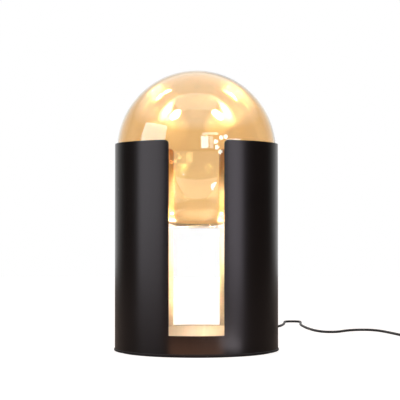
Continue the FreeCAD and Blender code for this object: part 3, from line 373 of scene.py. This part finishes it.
def wear_finish(material, *names):
    """Gives CAD nodes their material."""
    for name in names:
        for slot in nodes[name].material_slots:
            slot.material = material
    print(f"{material.name}: {', '.join(names)}")


print("ready: start_material, wear_finish")

# %% [markdown]
# Most pieces have a pebbled finish, painted or moulded. Its colour and its gloss drift together
# over the piece, and where hands or a cloth have been, it shines a little less.

# %% A pebbled finish
GLOSS_DRIFT = 0.04


def finish(name, colour, roughness, grain=900.0, depth=0.00002, wear=0.06, shade=0.85, **sockets):
    """A pebbled finish whose colour and gloss drift, with faint handling marks."""
    material, tree, shader = start_material(name, **sockets)
    surface = place_group(tree, pebble, Scale=grain)
    marks = place_group(tree, handled)
    drift = surface.outputs["Drift"]
    tree.links.new(blend_colour(tree, drift, dimmed(colour, shade), colour),
                   shader.inputs["Base Color"])
    gloss = between(tree, drift, roughness - GLOSS_DRIFT, roughness + GLOSS_DRIFT)
    tree.links.new(math_node(tree, "MULTIPLY_ADD", marks.outputs["Mask"], wear, gloss),
                   shader.inputs["Roughness"])
    bump(tree, shader, surface.outputs["Height"], depth)
    return material


print("ready: finish")

# %% [markdown]
# Screws, caps and pins are turned and plated. Metal has no colour of its own apart from its
# reflections, so dull patches are darker and rougher at once.

# %% A plated finish
PATCH_SCALE = 60.0
DULL_SHADE = 0.72
DULL_ROUGHER = 0.2


def plated(name, colour, roughness, depth=0.000006):
    """Turned and plated metal, with fine lines round its axis and dull patches."""
    material, tree, shader = start_material(name, Metallic=1.0)
    dull = place_group(tree, handled, Scale=PATCH_SCALE).outputs["Mask"]
    tree.links.new(blend_colour(tree, dull, colour, dimmed(colour, DULL_SHADE)),
                   shader.inputs["Base Color"])
    tree.links.new(between(tree, dull, roughness, roughness + DULL_ROUGHER),
                   shader.inputs["Roughness"])
    bump(tree, shader, place_group(tree, turned).outputs["Height"], depth)
    return material


print("ready: plated")

# %% [markdown]
# ## The drum: black outside, white inside
#
# The drum is one sheet of steel with two coats of powder paint, so its two colours must meet along
# the inner edge of the rim and of both slots. The distance from the lamp's axis tells the coats
# apart: only the inner face lies closer to the axis than the cut edges.

# %% Two-tone drum paint
BLACK = (0.0065, 0.0046, 0.004)
WARM_WHITE = (0.52, 0.48, 0.43)
INNER_FACE = 108.6 * MM
SATIN = (0.23, 0.28)
MATTE = 0.55
PAINT_DEPTH = 0.000006

drum_paint, tree, shader = start_material("drum_paint", Specular_IOR_Level=0.22)
x, y, z = add_node(tree, "ShaderNodeSeparateXYZ", {0: object_point(tree)}).outputs
from_axis = math_node(tree, "SQRT", math_node(
    tree, "ADD", math_node(tree, "MULTIPLY", x, x), math_node(tree, "MULTIPLY", y, y)))
outside = math_node(tree, "GREATER_THAN", from_axis, INNER_FACE)
surface = place_group(tree, pebble, Scale=1100.0)
drift = surface.outputs["Drift"]
marks = place_group(tree, handled, Scale=18.0)
black = blend_colour(tree, drift, dimmed(BLACK, 0.85), BLACK)
white = blend_colour(tree, drift, dimmed(WARM_WHITE, 0.95), WARM_WHITE)
tree.links.new(blend_colour(tree, outside, white, black), shader.inputs["Base Color"])
worn = math_node(tree, "MULTIPLY_ADD", marks.outputs["Mask"], 0.02, between(tree, drift, *SATIN))
matte = between(tree, outside, MATTE, 0.0)
tree.links.new(math_node(tree, "MAXIMUM", worn, matte), shader.inputs["Roughness"])
bump(tree, shader, surface.outputs["Height"], PAINT_DEPTH)
wear_finish(drum_paint, "drum")

# %% [markdown]
# ## The lit wall, as the globe mirrors it
#
# Beside each bulb the white wall is so bright that its mirror images in the globe are white blobs.
# Bulbs bright enough for that would bleach the whole inside of the drum here. So the wall glows for
# one kind of ray only: one that has passed both faces of the globe's glass and was mirrored inside
# it. The Light Path node counts both. The glow is left out when Cycles picks lights, so that it
# doesn't light anything else.

# %% Bright spots on the wall
SPOT_MIDDLE = (0.0955, 0.051, 0.142)
SPOT_CORE, SPOT_EDGE = 0.01, 0.062
SPOT_FALLOFF = 1.6
SPOT_GLARE = 110.0
SPOT_COLOUR = (1.0, 0.92, 0.9, 1.0)


def mirrored_in_globe(tree, ray, again=0.0):
    """1 after a mirroring inside the globe, and this much more after a second one."""
    once = math_node(tree, "MINIMUM", ray.outputs["Glossy Depth"], 1.0)
    twice = math_node(tree, "GREATER_THAN", ray.outputs["Glossy Depth"], 1.5)
    inside = math_node(tree, "GREATER_THAN", ray.outputs["Transmission Depth"], 1.5)
    return math_node(tree, "MULTIPLY", math_node(tree, "MULTIPLY_ADD", twice, again, once),
                     inside)


both_sides = add_node(tree, "ShaderNodeCombineXYZ", {0: math_node(tree, "ABSOLUTE", x), 1: y, 2: z})
from_spot = add_node(tree, "ShaderNodeVectorMath", {0: both_sides.outputs[0], 1: SPOT_MIDDLE},
                     operation="DISTANCE").outputs["Value"]
halo = math_node(tree, "POWER", between(tree, from_spot, 0.0, 1.0, start=SPOT_EDGE, end=SPOT_CORE),
                 SPOT_FALLOFF)
seen = mirrored_in_globe(tree, tree.nodes.new("ShaderNodeLightPath"))
inner_face = math_node(tree, "SUBTRACT", 1.0, outside)
tree.links.new(product(tree, halo, SPOT_GLARE, seen, inner_face),
               shader.inputs["Emission Strength"])
shader.inputs["Emission Color"].default_value = SPOT_COLOUR
drum_paint.cycles.emission_sampling = "NONE"
print(f"two bright spots, {SPOT_EDGE / MM:.0f} mm in radius, seen only in the globe")

# %% [markdown]
# ## Painted parts
#
# The base plate has the drum's black paint. The floor, the ring and its posts are white, so that
# they return the bulbs' light into the globe. The floor's paint is a darker tan than the ring's,
# which is painted shade for the dim floor low in the drum. One finish with other values does for
# all of them.

# %% Painted parts
black_paint = finish("black_paint", BLACK, 0.5, grain=1100.0, depth=PAINT_DEPTH, wear=0.05,
                     Specular_IOR_Level=0.2)
# The floor disc's colour is darkened to a tan: painted shade for the floor low in the drum.
floor_paint_shaded = finish("floor_paint_shaded", (0.42, 0.34, 0.28), 0.5, grain=800.0, depth=0.00001,
                     shade=0.95)
stand_paint = finish("stand_paint", (0.72, 0.66, 0.62), 0.4, depth=0.00001, shade=0.92)
wear_finish(black_paint, "base_plate")
wear_finish(floor_paint_shaded, "floor_disc")
wear_finish(stand_paint, "ring_posts", "globe_ring", "holder_risers")

# %% [markdown]
# ## Moulded parts
#
# The fittings on the lead are black moulded plastic, with a grain that the mould gives. The parts
# inside the drum stand near the hot bulbs, so they are pale plastic, ceramic and silicone.

# %% Black fittings on the lead
switch_plastic = finish("switch_plastic", (0.014, 0.013, 0.013), 0.38, grain=1500.0,
                        depth=0.00003, wear=0.14)
rocker_plastic = finish("rocker_plastic", (0.02, 0.019, 0.019), 0.3, grain=1500.0, depth=0.00001,
                        wear=0.16)
plug_plastic = finish("plug_plastic", (0.013, 0.012, 0.012), 0.42, grain=1300.0, depth=0.00004,
                      wear=0.14)
lead_rubber = finish("lead_rubber", (0.012, 0.009, 0.0075), 0.5, grain=2200.0, depth=0.00004,
                     wear=0.16)
wear_finish(switch_plastic, "switch_base", "switch_cover")
wear_finish(rocker_plastic, "switch_rocker")
wear_finish(plug_plastic, "plug_body", "strain_relief")
wear_finish(lead_rubber, "lead_tail")
for lead in (short_lead, long_lead):
    lead.data.materials.append(lead_rubber)

# %% Fittings inside the drum
clamp_plastic = finish("clamp_plastic", (0.03, 0.03, 0.03), 0.5)
block_plastic = finish("block_plastic", (0.72, 0.7, 0.64), 0.45, grain=600.0, wear=0.1)
holder_plastic = finish("holder_plastic", (0.74, 0.7, 0.63), 0.3, grain=500.0, depth=0.00001,
                        wear=0.12, shade=0.93)
insert_ceramic = finish("insert_ceramic", (0.7, 0.62, 0.5), 0.6, grain=1200.0, depth=0.00004)
cap_ceramic = finish("cap_ceramic", (0.02, 0.02, 0.028), 0.15, wear=0.2)
silicone = finish("silicone", (0.95, 0.93, 0.9), 0.2, grain=700.0, wear=0.1,
                  Transmission_Weight=0.85, IOR=1.41)
wire_silicone = finish("wire_silicone", (0.72, 0.7, 0.66), 0.4)
core_rubber = finish("core_rubber", (0.13, 0.04, 0.015), 0.45)
wear_finish(clamp_plastic, "clamp_saddle", "clamp_bar")
wear_finish(block_plastic, "terminal_block")
wear_finish(holder_plastic, "left_holder", "right_holder")
wear_finish(insert_ceramic, "left_holder_insert", "right_holder_insert")
wear_finish(cap_ceramic, "left_bulb_insulator", "right_bulb_insulator")
wear_finish(silicone, "globe_gasket")
wear_finish(wire_silicone, "left_wires", "right_wires")
wear_finish(core_rubber, "lead_cores")

# %% [markdown]
# ## Plated parts
#
# Structural parts are zinc plated and a little grey, parts that are handled are nickel plated and
# brighter, and whatever carries current is brass. The drop on a bulb's foot is solder.

# %% Plated parts
zinc = plated("zinc_plate", (0.58, 0.58, 0.6), 0.32)
nickel = plated("nickel_plate", (0.68, 0.65, 0.6), 0.16)
brass = plated("brass", (0.78, 0.52, 0.22), 0.28)
solder = plated("solder", (0.5, 0.5, 0.51), 0.4, depth=0.00001)
wear_finish(zinc, "drum_brackets", "standoffs", "post_screws", "bracket_screws", "holder_nipples",
            "holder_locknuts", "clamp_screws", "switch_screws")
wear_finish(nickel, "post_nuts", "terminal_screws", "rocker_pin", "plug_pins", "left_bulb_cap",
            "right_bulb_cap")
wear_finish(brass, "holder_contacts", "holder_sleeves", "contact_lever", "switch_terminals")
wear_finish(solder, "left_bulb_contact", "right_bulb_contact")

# %% [markdown]
# ## Felt and strap
#
# The felt under the base keeps it from scratching the table, and the strap holds the coil of spare
# lead. Both are fibres pressed or woven together. A fine noise that is stretched two ways stands
# for the fibres, and sheen gives the soft light that cloth shows at its edge.

# %% Felt and strap
FIBRE_STRETCH = 0.12
FIBRE_SHADE = 0.45
FIBRE_DEPTH = 0.0002


def fibres(name, colour, scale):
    """Cloth of fine fibres that lie two ways."""
    material, tree, shader = start_material(name, Roughness=0.95, Sheen_Weight=0.5)
    point = object_point(tree)
    noises = []
    for stretch in ((1.0, FIBRE_STRETCH, 1.0), (FIBRE_STRETCH, 1.0, 1.0)):
        way = add_node(tree, "ShaderNodeMapping", {"Vector": point, "Scale": stretch})
        noises.append(add_node(tree, "ShaderNodeTexNoise", {
            "Vector": way.outputs[0], "Scale": scale, "Detail": 4.0}).outputs[0])
    height = math_node(tree, "MAXIMUM", *noises)
    tree.links.new(blend_colour(tree, height, dimmed(colour, FIBRE_SHADE), colour),
                   shader.inputs["Base Color"])
    bump(tree, shader, height, FIBRE_DEPTH)
    return material


wear_finish(fibres("felt", (0.05, 0.046, 0.045), 2600.0), "base_felt")
wear_finish(fibres("strap_weave", (0.045, 0.044, 0.044), 3400.0), "coil_tie")

# %% [markdown]
# ## Glass
#
# The globe is thin amber glass and the bulbs are clear. Light that is scattered by paint on its way
# to a bulb would be lost in noise if it had to find its way through real refraction, so for shadow
# and diffuse rays the glass is only a coloured filter, which lets less through where glass seen at
# a slant mirrors more. The camera, and everything mirrored, sees true glass. A slow noise gives it
# the faint waves of blown glass.

# %% The body of a glass
WAVE_SCALE = 16.0
SLANT_IOR = 1.3


def glass(name, tint, ripple, ior=1.5, mirror=(1.0, 1.0, 1.0)):
    """True glass for the camera, and a coloured filter for shadows and scattered light."""
    material, tree, shader = start_material(name, Roughness=0.0, Transmission_Weight=1.0, IOR=ior)
    shader.inputs["Specular Tint"].default_value = (*mirror, 1.0)
    shader.inputs["Base Color"].default_value = (*tint, 1.0)
    waves = add_node(tree, "ShaderNodeTexNoise",
                     {"Vector": object_point(tree), "Scale": WAVE_SCALE, "Detail": 1.0})
    bump(tree, shader, waves.outputs[0], ripple)
    ray = tree.nodes.new("ShaderNodeLightPath")
    filtered = math_node(tree, "MAXIMUM", ray.outputs["Is Shadow Ray"],
                         ray.outputs["Is Diffuse Ray"])
    slant = add_node(tree, "ShaderNodeFresnel", {"IOR": SLANT_IOR})
    one_face = tuple(channel ** 0.5 for channel in tint)
    passing = blend_colour(tree, slant.outputs[0], one_face, (0.0, 0.0, 0.0))
    clear = add_node(tree, "ShaderNodeBsdfTransparent", {"Color": passing})
    mix = add_node(tree, "ShaderNodeMixShader", {0: filtered, 1: shader.outputs[0],
                                                 2: clear.outputs[0]})
    tree.links.new(mix.outputs[0], tree.nodes["Material Output"].inputs["Surface"])
    return material


print("ready: glass")

# %% [markdown]
# The globe's glass mirrors more than window glass, and its images lose a little red, because in
# the photo they are nearly white although the bulbs' light is orange. A lit bulb is white to
# whoever sees it mirrored in the globe, and fainter images of images show too. So the bulbs' glass
# glows for mirrored rays, in the way of the bright spots on the wall.

# %% Amber globe and clear bulbs
AMBER = (0.91, 0.71, 0.45)
BULB_GLARE = 100.0
SECOND_IMAGE = 5.0
BULB_COLOUR = (1.0, 0.86, 0.6, 1.0)

amber_glass = glass("amber_glass", AMBER, 0.0002, ior=1.65, mirror=(0.55, 0.85, 1.0))
bulb_glass = glass("bulb_glass", (0.97, 0.975, 0.97), 0.0001)
stem_glass = glass("stem_glass", (0.93, 0.95, 0.94), 0.0001)

tree = bulb_glass.node_tree
shader = tree.nodes["Principled BSDF"]
seen = mirrored_in_globe(tree, tree.nodes["Light Path"], SECOND_IMAGE)
tree.links.new(math_node(tree, "MULTIPLY", seen, BULB_GLARE), shader.inputs["Emission Strength"])
shader.inputs["Emission Color"].default_value = BULB_COLOUR
bulb_glass.cycles.emission_sampling = "NONE"
wear_finish(amber_glass, "globe")
wear_finish(bulb_glass, "left_bulb_glass", "right_bulb_glass")
wear_finish(stem_glass, "left_bulb_stem", "right_bulb_stem")

# %% [markdown]
# ## Glowing filaments
#
# Each bulb has four upright rods, coated with a powder that glows unevenly. Lit, they are far
# brighter than anything near them. A noise along the rods stands for the beads of powder.

# %% Filaments
FILAMENT_GLOW = 60.0
BEAD_SCALE = 700.0

filament, tree, shader = start_material("filament_glow", Roughness=0.6,
                                        Emission_Strength=FILAMENT_GLOW)
beads = add_node(tree, "ShaderNodeTexNoise", {"Vector": object_point(tree), "Scale": BEAD_SCALE})
glow = blend_colour(tree, beads.outputs[0], (1.0, 0.68, 0.36), (1.0, 0.78, 0.5))
tree.links.new(glow, shader.inputs["Emission Color"])
shader.inputs["Base Color"].default_value = (0.9, 0.6, 0.2, 1.0)
wear_finish(filament, "left_bulb_filaments", "right_bulb_filaments")

# %% [markdown]
# ## The bulbs' light
#
# Thin glowing rods light a room with much noise, so a small point light in each bulb does that work
# and stays hidden. A bulb's own foot and holder shade what lies under it, which keeps the floor of
# the drum from bleaching. A light has nodes as well: in them, the Incoming vector is the direction
# in which the light shines, wherever the camera stands, so a ramp over its height dims the rays
# that go steeply down.
#
# Two more lights show only as glints in the globe's foot, where the photo has two stars.

# %% The bulbs' light and its glints
BULB_FROM_AXIS, BULB_MIDDLE_HEIGHT = 0.08, 0.168
BULB_ENERGY, BULB_RADIUS = 1.25, 0.006
STEEP, LESS_STEEP, UNDER_THE_BULB = -0.68, -0.5, 0.06
GLINT_PLACE = (0.0625, -0.010, 0.115)
GLINT_ENERGY, GLINT_RADIUS = 0.2, 0.005


def point_light(name, place, energy, colour, radius):
    """A small round light."""
    light = bpy.data.lights.new(name, "POINT")
    light.energy = energy
    light.color = colour
    light.shadow_soft_size = radius
    source = bpy.data.objects.new(name, light)
    source.location = place
    scene.collection.objects.link(source)
    return source


def shade_below(light):
    """Dims the rays that go steeply down."""
    light.use_nodes = True
    tree = light.node_tree
    way = add_node(tree, "ShaderNodeSeparateXYZ",
                   {0: tree.nodes.new("ShaderNodeNewGeometry").outputs["Incoming"]})
    shaded = between(tree, way.outputs[2], UNDER_THE_BULB, 1.0, start=STEEP, end=LESS_STEEP)
    tree.links.new(shaded, tree.nodes["Emission"].inputs["Strength"])


for side in (-1, 1):
    bulb = point_light("bulb_light", (side * BULB_FROM_AXIS, 0.0, BULB_MIDDLE_HEIGHT),
                       BULB_ENERGY, (1.0, 0.86, 0.7), BULB_RADIUS)
    bulb.visible_camera = bulb.visible_glossy = bulb.visible_transmission = False
    shade_below(bulb.data)
    glint = point_light("bulb_glint", (side * GLINT_PLACE[0], *GLINT_PLACE[1:]),
                        GLINT_ENERGY, (1.0, 0.9, 0.7), GLINT_RADIUS)
    glint.visible_camera = glint.visible_diffuse = glint.visible_transmission = False
print(f"two bulbs of {BULB_ENERGY} W, {BULB_FROM_AXIS / MM:.0f} mm from the axis")

# %% [markdown]
# ## The table
#
# The photo's background is pure white, and so is its table. More light would bleach the lamp with
# it, so the table glows for rays that come straight from the camera or through glass, and has a
# middling colour of its own, on which the lamp's shadow still shows.

# %% Table
TABLE_HALF = 3
TABLE_GLOW = 0.9

table_mesh = bpy.data.meshes.new("table_top")
corners = [(x * TABLE_HALF, y * TABLE_HALF, 0) for x, y in ((-1, -1), (1, -1), (1, 1), (-1, 1))]
table_mesh.from_pydata(corners, [], [(0, 1, 2, 3)])
table = bpy.data.objects.new("table_top", table_mesh)
scene.collection.objects.link(table)
table_white, tree, shader = start_material("table_white", Roughness=0.9)
table_mesh.materials.append(table_white)
shader.inputs["Base Color"].default_value = (0.34, 0.25, 0.2, 1.0)
ray = tree.nodes.new("ShaderNodeLightPath")
straight = math_node(tree, "MAXIMUM", ray.outputs["Is Camera Ray"],
                     ray.outputs["Is Transmission Ray"])
only_mirrored = math_node(tree, "SUBTRACT", ray.outputs["Is Glossy Ray"],
                          ray.outputs["Is Transmission Ray"], clamp=True)
print(f"table: {2 * TABLE_HALF} m wide")

# %% [markdown]
# The bulbs' light falls out of the front slot as a fan on the table. The table is already white to
# the camera, but the globe mirrors that fan as the pale shape low in its middle, and the drum's
# foot mirrors it too. The fan is drawn from the slot outwards: its half width grows with the
# distance, and it fades in at the drum and out again further on.

# %% Patch of light before the slot
PATCH_NEAR, PATCH_FAR = (0.124, 0.136), (0.33, 0.31)
PATCH_SPREAD, PATCH_AT_AXIS = 0.77, -0.037
PATCH_FADE = 0.014
PATCH_GLOW = 4.8
PATCH_COLOUR = (1.0, 0.47, 0.28)

x, y, _ = add_node(tree, "ShaderNodeSeparateXYZ", {0: object_point(tree)}).outputs
ahead = math_node(tree, "MULTIPLY", y, -1.0)
half_width = math_node(tree, "MULTIPLY_ADD", ahead, PATCH_SPREAD, PATCH_AT_AXIS)
inside = math_node(tree, "SUBTRACT", half_width, math_node(tree, "ABSOLUTE", x))
fades = [between(tree, value, 0.0, 1.0, start=start, end=end) for value, (start, end) in (
    (ahead, PATCH_NEAR), (ahead, PATCH_FAR), (inside, (0.0, PATCH_FADE)))]
patch = product(tree, *fades, only_mirrored)
glow = math_node(tree, "ADD", math_node(tree, "MULTIPLY", straight, TABLE_GLOW),
                 math_node(tree, "MULTIPLY", patch, PATCH_GLOW))
tree.links.new(glow, shader.inputs["Emission Strength"])
tree.links.new(blend_colour(tree, only_mirrored, (1.0, 1.0, 1.0), PATCH_COLOUR),
               shader.inputs["Emission Color"])
table_white.cycles.emission_sampling = "NONE"
print(f"patch of light from {PATCH_NEAR[0]} to {PATCH_FAR[0]} m before the axis")

# %% [markdown]
# ## The room
#
# The room is white behind the lamp and has a pale ceiling, and it is dark behind the camera. The
# camera sees plain white. Diffuse surfaces get a weak, even light from all round. Polished ones
# mirror the room's parts: the glass is dark where it mirrors the front, and that gives the globe
# its form. Light Path tells the rays apart, so that none of this adds light to the lamp.

# %% World
ALL_ROUND = 0.22
DARK_FRONT = 0.04
BACK_WALL = (0.55, 0.95)
CEILING, CEILING_GLOW = (0.4, 0.62), 1.6
WIDE_BACK_WALL = (-0.3, 0.2)

world = bpy.data.worlds.new("studio")
scene.world = world
world.use_nodes = True
tree = world.node_tree
ray = tree.nodes.new("ShaderNodeLightPath")
_, y, z = add_node(tree, "ShaderNodeSeparateXYZ",
                   {0: tree.nodes.new("ShaderNodeTexCoord").outputs["Generated"]}).outputs
behind = between(tree, y, 0.0, 1.0, start=BACK_WALL[0], end=BACK_WALL[1])
ceiling = between(tree, z, 0.0, CEILING_GLOW, start=CEILING[0], end=CEILING[1])
mirrored = math_node(tree, "MAXIMUM", math_node(tree, "MAXIMUM", behind, ceiling), DARK_FRONT)
wide = between(tree, y, 0.0, 1.0, start=WIDE_BACK_WALL[0], end=WIDE_BACK_WALL[1])
through = math_node(tree, "MINIMUM", math_node(tree, "MAXIMUM", wide, mirrored), 1.0)
never_mirrored = math_node(tree, "LESS_THAN", ray.outputs["Glossy Depth"], 0.5)
through = math_node(tree, "MAXIMUM", through, never_mirrored)
strength = ALL_ROUND
for kind, value in (("Is Glossy Ray", mirrored), ("Is Transmission Ray", through),
                    ("Is Camera Ray", 1.0)):
    strength = add_node(tree, "ShaderNodeMix", {"Factor": ray.outputs[kind], "A": strength,
                                                "B": value}, data_type="FLOAT").outputs[0]
background = tree.nodes["Background"]
background.inputs["Color"].default_value = (1.0, 1.0, 1.0, 1.0)
tree.links.new(strength, background.inputs["Strength"])
print("world: white behind the lamp and above it, dark in front")

# %% [markdown]
# ## The studio lights
#
# Satin black paint shows little but its reflections, so where the soft lights stand decides how the
# drum looks. A large one on the left gives the broad grey sheen, and a smaller one on the right
# ends early, which leaves the drum's right side dark up to its bright edge. Each light is placed by
# the angles that it fills, seen from the middle of the globe, because those can be read from its
# mirror image: the image turns twice as fast as the glass.


# %% Light panels
LIGHT_DISTANCE = 1.7
GLOBE_HEIGHT = 0.27


def panel(name, place, aim, width, tall, radiance, shape="RECTANGLE", colour=(1.0, 1.0, 1.0)):
    """A flat light of this size and brightness that looks at a point."""
    light = bpy.data.lights.new(name, "AREA")
    light.shape = shape
    light.size, light.size_y = width, tall
    light.energy = radiance * math.pi * width * tall
    light.color = colour
    source = bpy.data.objects.new(name, light)
    source.location = place
    source.rotation_euler = (Vector(aim) - Vector(place)).to_track_quat("-Z", "Y").to_euler()
    scene.collection.objects.link(source)
    return source


def upright_panel(name, azimuths, elevations, radiance, shape="RECTANGLE",
                  colour=(1.0, 1.0, 1.0)):
    """A light that fills these angles, in degrees, as seen from the middle of the globe."""
    left, right = (math.radians(angle) for angle in azimuths)
    low, high = (LIGHT_DISTANCE * math.tan(math.radians(angle)) for angle in elevations)
    angle, height = (left + right) / 2, GLOBE_HEIGHT + (low + high) / 2
    place = (LIGHT_DISTANCE * math.sin(angle), -LIGHT_DISTANCE * math.cos(angle), height)
    width = 2 * LIGHT_DISTANCE * math.tan((right - left) / 2)
    panel(name, place, (0, 0, height), width, high - low, radiance, shape, colour)


print("ready: panel, upright_panel")

# %% Softboxes
upright_panel("left_softbox", (-86, -45), (-8, 30), 4.1, colour=(0.96, 0.92, 1.0))
upright_panel("right_softbox", (42, 65), (-10, 12), 6.0, colour=(0.95, 0.88, 1.0))
print("softboxes: a large one on the left, a small bright one on the right")

# %% [markdown]
# The globe also mirrors the room behind the camera: a window of two panes with a bar of light above
# them, and beside it the bright ribs of an open studio umbrella. Small lights with a window's or a
# rib's angles put them where the photo shows them.

# %% Window and umbrella
UMBRELLA_RIBS = ((26.8, 8.3), (28.4, 1.2), (33.2, -5.0), (34.8, 13.5), (41.5, 14.8))
RIB_SIZE = 3

upright_panel("window_pane", (6.4, 16.8), (-0.5, 16), 8.0)
upright_panel("side_pane", (18.1, 23.3), (-0.5, 16), 3.0)
upright_panel("top_pane", (8.8, 31), (17.6, 21), 4.0)
for number, (azimuth, elevation) in enumerate(UMBRELLA_RIBS, start=1):
    upright_panel(f"umbrella_rib_{number}", (azimuth - RIB_SIZE, azimuth + RIB_SIZE),
                  (elevation - RIB_SIZE, elevation + RIB_SIZE), 8.0, "ELLIPSE")
print(f"a window of three panes, and {len(UMBRELLA_RIBS)} ribs")

# %% [markdown]
# A weak light from above softens the shadow on the table. And the window's own light lies on the
# table to the right of the lamp, where only the drum's foot mirrors it, as a pale glow. It shows in
# reflections alone, for the same reason as the patch before the slot.

# %% Light from above, and the window's light on the table
ON_TABLE = 0.002
GLOW_X, GLOW_Y = 0.15, -0.2

panel("top_softbox", (0, -0.6, 1.77), (0, -0.6, 0), 1.4, 0.86, 1.0)
window_glow = panel("window_glow_on_table", (GLOW_X, GLOW_Y, ON_TABLE), (GLOW_X, GLOW_Y, 1),
                    0.1, 0.12, 10.0, "ELLIPSE", (1.0, 0.9, 0.97))
window_glow.visible_camera = False
window_glow.visible_diffuse = window_glow.visible_transmission = False
print(f"{len(bpy.data.lights)} lights in all")
